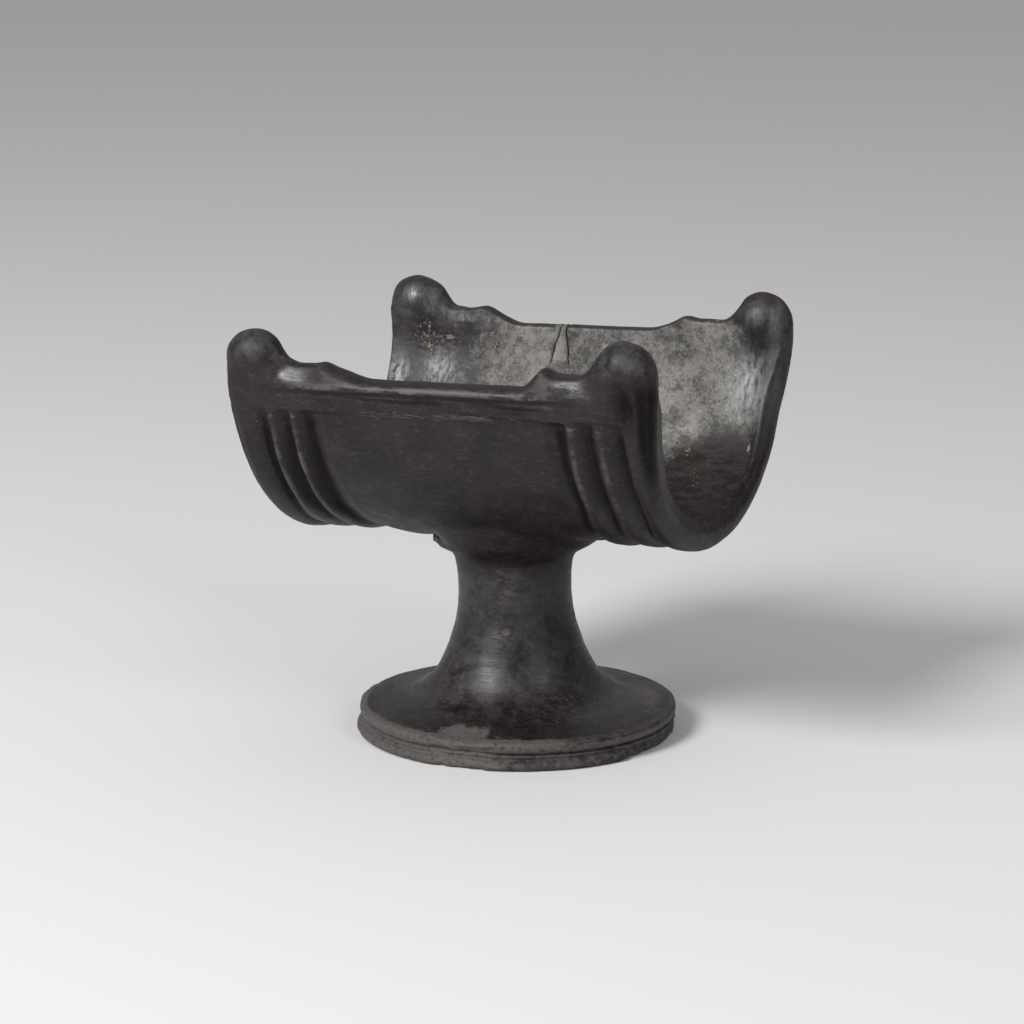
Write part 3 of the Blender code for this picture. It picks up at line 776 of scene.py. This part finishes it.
def raise_detail(data):
    """Hand-made unevenness, burnish, wheel rings, crust, cracks and chips as real relief."""
    area = Regions(data)
    points, z, height = area.points, area.z, area.height
    knobs = smooth(3, 7, z)
    uneven = (0.13 + 0.22 * knobs) * noise(points, 8, 1) + (0.06 + 0.1 * knobs) * noise(points, 3.6, 2)
    burnish = (0.05 + 0.06 * area.band) * noise(points * BURNISH_STRETCH, 1.1, 4) * area.outside
    flat = np.zeros_like(points)
    flat[:, 2] = height + 0.5 * noise(points, 14, 6)
    rings = 0.085 * noise(flat, 1.7, 7) + 0.05 * noise(flat, 0.75, 8)
    rings *= area.foot * smooth(8, 10, height) * smooth(60, 44, area.radius)
    rough = noise(points, 1.1, 9)
    lumps = 0.42 * unit(rough + 0.15) - 0.3 * unit(-rough - 0.2)
    scaly = area.inside * smooth(-25, -33, z)
    scales = 0.14 * scaly * abs(noise(points, 1.7, 10))
    wall = 0.07 * noise(points, 1.9, 12) * area.inside * (1 - scaly)
    smear = 0.8 * bump(area.x, -27.5, 4.5) * smooth(-43.5, -46.5, z) * area.outside
    pits = 0.3 * unit(noise(points, 1.5, 13) - 0.5) * (1 - area.foot)
    raised = uneven + burnish + rings + lumps * area.crust + scales + wall + smear
    shift = (raised - pits - CRACK_DEPTH * crack_share(area)) * (height >= GROUND_MARGIN)
    moved = points + area.normals * shift[:, None]
    inward = (FOOT_CENTRE - points[:, :2]) / (area.radius[:, None] + TINY)
    moved[:, :2] += inward * wear_foot(area)[:, None]
    moved[:, 2] -= 0.5 * area.flake * area.foot * smooth(6, 7.5, height)
    move_to(data, moved)


def groove_shade_of(area):
    """Painted shade, which also dulls the shine: between the ribs, in the dimple, on the flank below the
    near right knob and in a line under the lip; with fine dark lines along the band and a darker inside
    floor.
    """
    x, z = area.x, area.z
    hollow = np.zeros(len(x))
    for end, least in ((-1, 0.42), (1, 0.28)):
        along, skew = end * x, RIB_SKEW[end]
        roll, middle, body = grooves_at(z, end)
        lobes = lobe(along, body, middle, 1.6, skew) + lobe(along, middle, roll, 1.6, skew)
        span = smooth(body - 3.6, body - 0.8, along) * smooth(roll + 2.2, roll - 0.5, along)
        hollow += smooth(least, 1.08, (1 - lobes) * span)
    hollow *= smooth(-46, -38, z) * smooth(-6.8, -11, z)
    flank = smooth(59.4, 61.4, x) * smooth(-30, -18, z) * smooth(6, 1, z)
    lines = 0.7 * smooth(0.05, 0.45, noise(area.points * LINE_STRETCH, 1.1, 17)) * area.band
    band = (lines + 0.5 * bump(z, -2.1, 0.6)) * smooth(48, 30, area.width)
    floor = 0.45 * area.inside * smooth(-27, -33, z)
    return (hollow + (patches(DIMPLE_PATCH, x, z) + flank + band) * area.near) * area.outside + floor


def paint(data, name, values):
    attribute = data.attributes.new(name, "FLOAT", "POINT")
    attribute.data.foreach_set("value", np.clip(values, 0, 2).astype(np.float32))


def paint_regions(data):
    """Where deposit, ochre, crust, worn edges, painted shade and sheen, reddish slip and polish lie, for
    the material.
    """
    area = Regions(data)
    x, z, width, crust = area.x, area.z, area.width, area.crust
    angle, radius, height = area.angle, area.radius, area.height
    broad = noise(area.points, 9, 21)
    disc_top = (height > 6) * area.foot

    # Deposit on the inside: less on the floor, on the left, at the ends and on the knobs
    film = smooth(-7, 6, z + 23 + 8 * smooth(46, 30, x) + 4 * broad)
    film *= 1 - 0.8 * smooth(-3.5, 4.5, x + 0.42 * z - 51.1 + 1.5 * broad) * smooth(-13, -5, z)
    film *= 1 - 0.5 * smooth(4.5, 8, z) * (x < -40)
    film *= 0.5 + 0.5 * smooth(-38, -14, x + 5 * broad)
    ridge = np.where(x < 0, rim_height(-1, 1, width), rim_height(1, 1, width))
    film *= 1 - 0.8 * smooth(-1, -0.2, z - ridge)
    # Painted shade: no deposit under the far left ledge, below the far right knob and in one more patch
    film *= 1 - 0.85 * unit(patches(SHADED_PATCHES, x, z) + crust)
    film *= 1 - 0.9 * smooth(4.5, 1, END_X - width)
    paint(data, "film", film * area.inside)
    # Glossy patches: a coat, and a painted sheen in the base colour
    paint(data, "gloss_and_sheen", patches(GLOSS_AND_SHEEN_PATCHES, x, z) * area.far)

    # Ochre earth, crumbs and specks, crust, and the pale sliver between the cracks
    olive = patches(OLIVE_PATCH, x, z) * area.outer_near
    paint(data, "ochre", (patches(OCHRE_PATCHES, x, z) + 0.45 * crust) * area.inner_far + olive)
    dots = (patches(DOT_PATCHES, x, z) + 1.15 * crust) * area.inner_far
    specks = 0.75 * smooth(20, 24, radius) * (radius < 42)
    specks = (specks + patches(SPECK_PATCH, angle, radius)) * disc_top
    paint(data, "crumbs", patches(CRUMB_PATCHES, x, z) * area.outer_near + dots + specks)
    paint(data, "crust", crust + patches(EARTH_PATCH, x, z) * area.inner_far)
    paint(data, "pale", (x > -8.4) * (x < -4.4) * smooth(-9, -3, z) * area.inner_far)

    # Worn edges, crests and lip, and scuffs on the stem; the pale band along the lip is worn and also
    # paints part of the lip's highlight
    scaly = area.inside * smooth(-25, -33, z + 3 * broad)
    worn_rim = area.far * (1 - area.inside) * bump(z, 3, 2)
    posts = (width > 50) * smooth(-30, -18, z) * area.outside
    edge = smooth(0.1, 0.5, -curvature(data, area.points)) * (1 - 0.7 * area.inside)
    edge *= (1 - 0.8 * worn_rim) * (1 - 0.85 * posts)
    crest = np.zeros(len(x))
    for end in (-1, 1):
        roll, middle, body = grooves_at(z, end)
        share = 0.5 ** (1 / RIB_SKEW[end])
        for start, stop in ((body, middle), (middle, roll)):
            crest += bump(end * x, between(start, stop, share), 0.55)
    crest *= smooth(-42, -34, z) * smooth(-11, -16, z) * area.outside
    # Pale along the lip: wear, and a painted highlight along the lip's round
    lip = bump(z, -0.2, 0.85) * smooth(37, 29, width) * area.outer_near
    humps = patches(HUMP_PATCHES, x, z) * area.outer_near
    scuffed = patches(SCUFF_PATCHES, angle, height) * area.foot
    paint(data, "edge", edge + 0.75 * crest + 1.15 * lip + humps + scuffed + 0.35 * scaly * (x > 35))
    # Painted shade between the ribs, in the dimple, under the lip and on the flank below the near right
    # knob
    paint(data, "groove", groove_shade_of(area))

    # Cracks, and painted shade in the cavity over the collar's broken edge
    cavity = 1.4 * area.broken * smooth(21, 21.6, area.collar) * smooth(23.6, 22.9, area.collar)
    into_root = area.above + ROOT_THICKNESS + 0.4 * noise(area.points, 2.6, 16)
    paint(data, "crack", crack_share(area) + cavity * smooth(-1.7, -1, into_root))

    # Dust on the foot's edge, on the flake's bed and on the collar's root, and a painted sheen on the
    # disc's top
    front = smooth(-20, -75, angle) * smooth(-175, -150, angle)
    right = smooth(-92, -78, angle) * smooth(90, 60, angle)
    darker = right * (0.42 * smooth(4, 3.2, height) + 0.6 * bump(height, 4.4, 0.5))
    darker += 0.6 * smooth(-62, -42, angle) * smooth(6.2, 7.2, height)
    rim_dust = 1.02 + 0.4 * front * smooth(4.4, 5.4, height) - darker
    rim_dust = rim_dust * smooth(42, 43.5, radius) + 1.2 * area.flake
    root = 0.8 * area.broken * smooth(23.2, 25, area.collar) * smooth(33, 28, area.collar)
    disc_sheen = patches(DISC_SHEEN_PATCHES, angle, radius) * disc_top
    paint(data, "dust_and_sheen", rim_dust * area.foot + disc_sheen + root)

    # Reddish slip, and where the surface is polished or smoked
    slip = patches(RED_PATCHES, x, z) * area.outer_near + patches(PRESSED_PATCHES, x, z) * area.near
    knob_top = area.far * smooth(40, 44, x) * smooth(8.5, 12, z + 2 * broad)
    paint(data, "red", slip + 1.2 * scaly + knob_top)
    stem = area.foot * smooth(8.5, 12, height) * smooth(50, 44, height)
    disc = area.foot * smooth(25, 30, radius) * smooth(6.5, 8.5, height)
    burnished = (patches(SCOOP_PATCHES, x, z) + 0.7 * lip + 0.5 * crest) * area.outside
    paint(data, "polish", burnished + 0.6 * stem + 0.5 * disc)
    end_band = area.inside * smooth(4, 1, END_X - width) * smooth(-30, -14, z)
    paint(data, "knob", smooth(4, 8, z) * (width > 40) + 0.5 * stem + 1.2 * end_band)
    paint(data, "foot", area.foot)
    paint(data, "inside", area.inside)
    paint(data, "ribs", area.outside * smooth(34, 38, width) * smooth(-7.5, -9.5, z))


class Value:
    """A node's output, which sums, differences and products turn into further nodes."""

    def __init__(self, nodes, socket):
        self.nodes = nodes
        self.socket = socket

    def __add__(self, other):
        return self.nodes.math("ADD", self, other)

    def __sub__(self, other):
        return self.nodes.math("SUBTRACT", self, other)

    def __rsub__(self, other):
        return self.nodes.math("SUBTRACT", other, self)

    def __mul__(self, other):
        return self.nodes.math("MULTIPLY", self, other)

    def centred(self, share):
        """A noise's swing about its mean, scaled."""
        return (self - 0.5) * share

    def clamped(self):
        self.socket.node.use_clamp = True
        return self


class Nodes:
    """Small helpers that add and link the nodes of a material or a world."""

    def __init__(self, owner, coordinates="Object"):
        owner.use_nodes = True
        self.tree = owner.node_tree
        self.place = self.value("TexCoord", coordinates)

    def add(self, kind, inputs=None, **settings):
        node = self.tree.nodes.new("ShaderNode" + kind)
        for name, value in settings.items():
            setattr(node, name, value)
        for name, value in (inputs or {}).items():
            self.feed(node.inputs[name], value)
        return node

    def value(self, kind, output, inputs=None, **settings):
        return Value(self, self.add(kind, inputs, **settings).outputs[output])

    def feed(self, socket, value):
        if isinstance(value, Value):
            self.tree.links.new(value.socket, socket)
        else:
            socket.default_value = value

    def math(self, operation, first, second):
        return self.value("Math", 0, {0: first, 1: second}, operation=operation)

    def noise(self, size, detail, roughness=0.55, stretch=(1, 1, 1)):
        """Noise from 0 to 1, with features of a size in millimetres, drawn out by a small stretch."""
        place = self.value("Mapping", "Vector", {"Vector": self.place, "Scale": stretch})
        inputs = {"Vector": place, "Scale": 1 / (size * MM), "Detail": detail, "Roughness": roughness}
        return self.value("TexNoise", "Fac", inputs)

    def painted(self, name):
        return self.value("Attribute", "Fac", attribute_name=name)

    def step(self, value, start, end, low=0, high=1, kind="SMOOTHSTEP"):
        """Rise from 0 to 1, or between two other levels, while a value goes from start to end."""
        inputs = {"Value": value, "From Min": start, "From Max": end, "To Min": low, "To Max": high}
        return self.value("MapRange", "Result", inputs, interpolation_type=kind)

    def mix(self, share, first, second):
        """From the first colour where share is 0 to the second where it is 1."""
        node = self.add("Mix", {"Factor": share}, data_type="RGBA")
        for socket, value in ((node.inputs["A"], first), (node.inputs["B"], second)):
            self.feed(socket, value if isinstance(value, Value) else (*value, 1))
        return Value(self, node.outputs["Result"])

    def layers(self, colour, *shares_and_tints):
        """A colour with tints laid over it one after another, each by its share."""
        for share, tint in shares_and_tints:
            colour = self.mix(share, colour, tint)
        return colour

    def blend(self, share, first, second):
        """From the first number where share is 0 to the second where it is 1."""
        inputs = {"Factor": share, "A": first, "B": second}
        return self.value("Mix", "Result", inputs, data_type="FLOAT")


def clay_material():
    """Burnished black clay with worn edges, dust, deposit on the inside and ochre earth in specks, with
    painted shade in grooves and recesses and painted sheen on glossy patches and the disc.
    """
    material = bpy.data.materials.new("black_clay")
    nodes = Nodes(material)
    noise, painted, step = nodes.noise, nodes.painted, nodes.step
    mix, layers, blend = nodes.mix, nodes.layers, nodes.blend
    clouds = noise(10, 4)
    blotches = noise(5, 5, 0.65)
    mottle = noise(3.2, 4)
    grain = noise(0.55, 3)
    rub = noise(2.2, 7, 0.78)
    rubbed = noise(0.9, 5, 0.8, (0.6, 1, 1))
    flecks = noise(0.75, 4, 0.75)
    inside, foot, ochre, polish = painted("inside"), painted("foot"), painted("ochre"), painted("polish")
    streaks = blend(painted("ribs"), noise(0.7, 4, 0.65, ALONG), noise(0.7, 4, 0.65, DOWN))
    streaks = blend(foot, streaks, noise(0.6, 3, stretch=AROUND))

    # Body: black to brown, with streaks of burnish and reddish slip
    colour = mix(step(clouds, 0.38, 0.66), BLACK_CLAY, BROWN_CLAY)
    slip = painted("red")
    red = (slip * step(mottle, 0.36, 0.56)).clamped()
    hollow = nodes.math("MINIMUM", painted("groove"), 1)
    colour = layers(colour, (step(streaks, 0.5, 0.72) * 0.6, BROWN_CLAY), (red * 0.85, RED_CLAY))
    # Painted shade between the ribs, in the dimple, under the lip and on the flank below the near right
    # knob
    colour = mix(hollow * 0.85, colour, PIT_AND_SHADE_CLAY)

    # Worn edges, fine pale scuffs and specks of dust, and the pale dust paint that also paints a sheen on
    # the disc
    lighter = painted("knob") * step(blotches + rub.centred(0.9), 0.38, 0.62)
    lighter = (lighter * blend(red, 1, 0.25)).clamped()
    colour = layers(colour, (lighter * 0.9, SMOKED_CLAY), (step(rubbed, 0.48, 0.34) * 0.6, PIT_AND_SHADE_CLAY))
    scuffs = step(noise(1.6, 6, 0.75, (0.5, 1, 1)), 0.52, 0.68) + step(rubbed, 0.54, 0.66) * 0.5
    edge = painted("edge")
    chafed = edge * step(noise(2.6, 6, 0.72, (0.4, 1, 1)) + edge * 0.05, 0.47, 0.6)
    dust = painted("dust_and_sheen")
    dust_and_sheen = step(dust + noise(2.4, 6, 0.76).centred(2.8), 0.15, 1.15) * step(dust, 0.05, 0.3)
    worn = nodes.math("MAXIMUM", chafed * 0.7 + scuffs * 0.25, dust_and_sheen * 0.95)
    worn *= blend(hollow, 1, 0.15)
    colour = mix(nodes.math("MINIMUM", worn, 1), colour, WORN_CLAY)
    holes = step(noise(1.3, 5, 0.8), 0.46, 0.4) * step(dust, 0.7, 1.2)
    specks = step(noise(0.8, 5, 0.75), 0.67, 0.71)
    colour = layers(colour, (holes * 0.8, FILM_PITS), (specks * 0.75, STONE_DUST))

    # Deposit on the inside: a grey and beige film, smeared and finely speckled
    covered = painted("film")
    film = step(covered + rub.centred(1.6), 0.05, 0.95)
    light = rub.centred(1.8) + flecks.centred(1.9) + clouds.centred(2.1) + mottle.centred(1.4)
    light += (covered - 1) * 0.9
    film_colour = mix(step(light, -0.65, 0.75), FILM_GREY, FILM_PALE)
    stained = step(ochre, 0.35, 1.4) * step(mottle, 0.4, 0.56)
    tan = nodes.math("MAXIMUM", step(blotches, 0.48, 0.68) * step(flecks, 0.4, 0.6), stained)
    pits = step(noise(0.9, 4, 0.8), 0.42, 0.34)
    scratches = step(noise(1.1, 3, 0.6, (1, 0.25, 0.25)), 0.66, 0.72)
    flakes = step(noise(1.5, 6, 0.8), 0.63, 0.68)
    film_colour = layers(film_colour, (tan * 0.5, FILM_TAN), (pits * 0.8, FILM_PITS))
    film_colour = layers(film_colour, (scratches * 0.5, STONE_DUST), (flakes * 0.45, STONE_DUST))
    bare = ((inside - film).clamped() - slip).clamped()
    film_share = film * 0.92
    # Glossy patches: a coat, and a pale painted sheen laid in streaks
    drawn = painted("gloss_and_sheen") * step(noise(1.5, 6, 0.75, (1, 0.4, 0.4)), 0.36, 0.6)
    colour = layers(colour, (bare * 0.22, SMOKED_CLAY), (film_share, film_colour))
    colour = mix(drawn * 0.62, colour, PAINTED_SHEEN)

    # Pale clay between the cracks, ochre earth, crumbs, and the cracks themselves
    lumps = noise(1.1, 5, 0.7)
    crust = painted("crust") * step(lumps, 0.56, 0.46)
    earth = step(ochre + lumps.centred(6), 1.15, 1.6)
    tint = mix(step(grain, 0.4, 0.58), BROWN_EARTH, OCHRE)
    tint = mix(step(mottle, 0.45, 0.6) * 0.7, tint, FILM_TAN)
    colour = layers(colour, (painted("pale") * 0.35, FILM_PALE), (crust * 0.85, DARK_CRUST))
    colour = mix(earth * 0.8, colour, tint)
    crumbs = blend(foot, noise(0.4, 4, 0.75, (0.14, 1, 1)), noise(0.8, 4, 0.75))
    crumbs = blend(inside, crumbs, noise(0.9, 4, 0.75))
    crumbs = step(painted("crumbs") + crumbs.centred(6), 1.35, 1.8) * blend(inside, 0.19, 0.85)
    # Dark cracks, and painted shade in the cavity over the collar's broken edge
    crack = step(painted("crack"), 0.45, 0.8)
    colour = layers(colour, (crumbs, CRUMBS), (crack * 0.9, CRACK_AND_SHADE_DARK))

    # Polish: glossy where burnished, dull under dust and deposit and in cracks
    dull = nodes.math("MAXIMUM", nodes.math("MAXIMUM", film_share * 0.75, earth), worn * 0.6)
    rough = 0.5 - polish * 0.12 + blotches.centred(0.45) + streaks.centred(0.35)
    rough = blend(dull, nodes.math("MAXIMUM", rough, 0.22), 0.75)
    shine = blend(polish, 0.34, 0.55) * blend(hollow, 1, 0.35) * blend(crack, 1, 0.08)

    # Fine relief below what the mesh carries
    relief = streaks * 0.55 + grain * 0.3 + noise(0.22, 2) * 0.12 + rubbed * 0.35
    relief = relief + film * flecks * 0.9 + dust_and_sheen * rub * 1.6 + earth * 0.8
    normal = nodes.value("Bump", "Normal", {"Strength": 0.6, "Distance": 0.16 * MM, "Height": relief})

    finish = {"Base Color": colour, "Roughness": rough, "Specular IOR Level": shine, "Normal": normal}
    finish.update({"Coat Weight": drawn * 0.8, "Coat Roughness": 0.25, "Coat Normal": normal})
    for name, value in finish.items():
        nodes.feed(nodes.tree.nodes["Principled BSDF"].inputs[name], value)
    return material


def make_stand():
    stand = join_foot(make_trough(), make_foot())
    data = stand.data
    stand.name = data.name = "black_clay_stand"
    data.materials.clear()
    data.materials.append(clay_material())
    soften(data)
    raise_detail(data)
    paint_regions(data)
    data.shade_smooth()
    return stand


def make_camera():
    data = bpy.data.cameras.new("camera")
    data.lens = CAMERA_LENS
    data.sensor_width = 36
    data.clip_end = 50
    camera = add_to_scene("camera", data)
    camera.location = CAMERA_PLACE
    camera.rotation_euler = (math.radians(90 - CAMERA_DOWN), 0, math.radians(CAMERA_TURN))
    bpy.context.scene.camera = camera


def make_light(name, from_camera, elevation, distance, width, height, power):
    """A soft box aimed at the stand, by its direction in degrees round from the camera and up."""
    data = bpy.data.lights.new(name, "AREA")
    data.shape = "ELLIPSE"
    data.size = width
    data.size_y = height
    data.energy = power
    light = add_to_scene(name, data)
    turn, lift = math.radians(CAMERA_AZIMUTH + from_camera), math.radians(elevation)
    level = math.cos(lift)
    away = mathutils.Vector((level * math.cos(turn), level * math.sin(turn), math.sin(lift)))
    light.location = mathutils.Vector(LIGHT_TARGET) + away * distance
    light.rotation_euler = (-away).to_track_quat("-Z", "Y").to_euler()


def make_floor():
    signs = ((-1, -1), (1, -1), (1, 1), (-1, 1))
    corners = [(x * FLOOR_HALF, y * FLOOR_HALF, 0) for x, y in signs]
    floor = new_object("floor", corners, [[0, 1, 2, 3]])
    material = bpy.data.materials.new("paper")
    material.use_nodes = True
    shader = material.node_tree.nodes["Principled BSDF"]
    shader.inputs["Base Color"].default_value = PAPER
    shader.inputs["Roughness"].default_value = 0.9
    floor.data.materials.append(material)


def make_world():
    """Soft light from above, a dark room all round and a lit backdrop behind the stand."""
    world = bpy.data.worlds.new("studio")
    nodes = Nodes(world, "Generated")
    up = nodes.value("SeparateXYZ", "Z", {"Vector": nodes.place})
    turn = math.radians(CAMERA_AZIMUTH + 180)
    inputs = {0: nodes.place, 1: (math.cos(turn), math.sin(turn), 0)}
    behind = nodes.value("VectorMath", "Value", inputs, operation="DOT_PRODUCT")
    rise = nodes.step(up, 0, 1, HORIZON_LIGHT, ZENITH_LIGHT, "LINEAR")
    sweep = nodes.step(behind, 0.35, 0.95, 0, BACKDROP_LIGHT, "LINEAR")
    background = nodes.tree.nodes["Background"]
    nodes.feed(background.inputs["Color"], (1, 1, 1, 1))
    nodes.feed(background.inputs["Strength"], rise + sweep)
    bpy.context.scene.world = world
    bpy.context.scene.view_settings.view_transform = "Standard"


stand = make_stand()
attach(stand, "root")
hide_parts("stand")
make_floor()
make_camera()
make_world()
for light in LIGHTS:
    make_light(*light)
